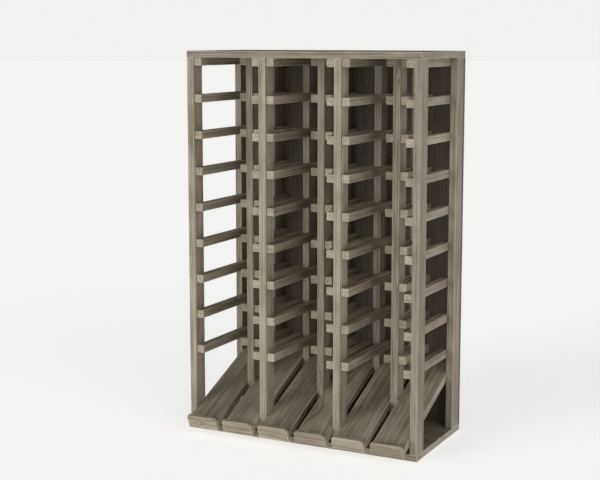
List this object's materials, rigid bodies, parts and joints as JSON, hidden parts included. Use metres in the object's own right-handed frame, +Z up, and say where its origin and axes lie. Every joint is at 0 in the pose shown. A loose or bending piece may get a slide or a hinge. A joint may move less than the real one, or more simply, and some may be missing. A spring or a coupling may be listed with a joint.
{
  "type": "wine_rack",
  "caption": "Free-standing wooden wine rack: upright ladders with short bottle rails between a top and a base board, closed back, sloping display boards with lips at the foot",
  "frame": {"origin": "centre of the base board's underside, on the floor", "axes": "+Z up, +Y to the back panel, +X to the right seen from the front"},
  "size_m": [0.68, 0.3753, 1.05],
  "materials": {
    "stained_wood": "matt light greyish-beige stained softwood with a straight visible grain",
    "stained_panel": "matt stained veneered panel, grain upright",
    "dowel_beech": "plain unstained hardwood dowel, hidden in the joints",
    "zinc_steel": "bright zinc-plated countersunk wood screws with a cross recess"
  },
  "bodies": {
    "root": {"back_panel": "stained_panel", "base_board": "stained_wood", "base_screws": "zinc_steel", "cross_dowels": "dowel_beech", "display_board_1": "stained_wood", "display_board_2": "stained_wood", "display_board_3": "stained_wood", "display_board_4": "stained_wood", "display_board_5": "stained_wood", "display_board_6": "stained_wood", "display_lip_1": "stained_wood", "display_lip_2": "stained_wood", "display_lip_3": "stained_wood", "display_lip_4": "stained_wood", "display_lip_5": "stained_wood", "display_lip_6": "stained_wood", "ladder_1_back_post": "stained_wood", "ladder_1_front_post": "stained_wood", "ladder_1_right_rails": "stained_wood", "ladder_2_back_post": "stained_wood", "ladder_2_front_post": "stained_wood", "ladder_2_left_rails": "stained_wood", "ladder_2_right_rails": "stained_wood", "ladder_3_back_post": "stained_wood", "ladder_3_front_post": "stained_wood", "ladder_3_left_rails": "stained_wood", "ladder_3_right_rails": "stained_wood", "ladder_4_back_post": "stained_wood", "ladder_4_front_post": "stained_wood", "ladder_4_left_rails": "stained_wood", "ladder_4_right_rails": "stained_wood", "ladder_5_back_post": "stained_wood", "ladder_5_front_post": "stained_wood", "ladder_5_left_rails": "stained_wood", "ladder_5_right_rails": "stained_wood", "ladder_6_back_post": "stained_wood", "ladder_6_front_post": "stained_wood", "ladder_6_left_rails": "stained_wood", "ladder_6_right_rails": "stained_wood", "ladder_7_back_post": "stained_wood", "ladder_7_front_post": "stained_wood", "ladder_7_left_rails": "stained_wood", "lip_dowels": "dowel_beech", "panel_screws": "zinc_steel", "side_dowels": "dowel_beech", "top_board": "stained_wood", "top_rail_screws": "zinc_steel"}
  },
  "joints": []
}
